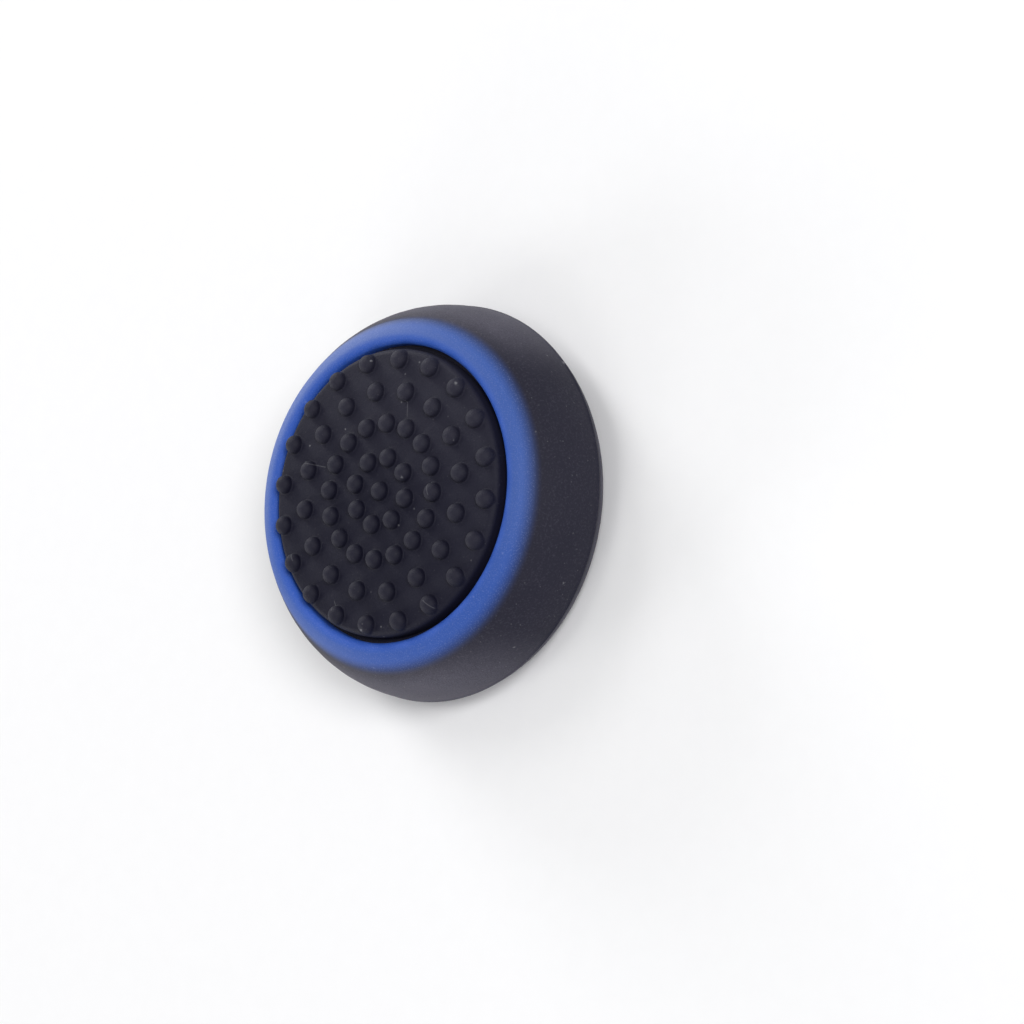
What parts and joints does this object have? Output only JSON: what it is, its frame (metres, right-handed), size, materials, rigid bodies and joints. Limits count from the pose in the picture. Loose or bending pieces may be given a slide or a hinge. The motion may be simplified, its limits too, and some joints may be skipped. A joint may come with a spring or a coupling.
{
  "type": "controller thumb grip",
  "caption": "Round silicone cap that stretches over a controller's thumb stick, with a studded pad, a coloured ring round it and a lip that curls in underneath.",
  "frame": {"origin": "middle of the open rim, on the surface that the grip stands on", "axes": "+Z along the grip's axis, from the open rim towards the studded pad; +X towards one stud of the second ring"},
  "size_m": [0.024, 0.024, 0.008],
  "materials": {
    "body_silicone": "matte moulded silicone",
    "ring_silicone": "satin moulded silicone"
  },
  "bodies": {
    "root": {"grip_body": "body_silicone", "colour_ring": "ring_silicone"}
  },
  "joints": []
}
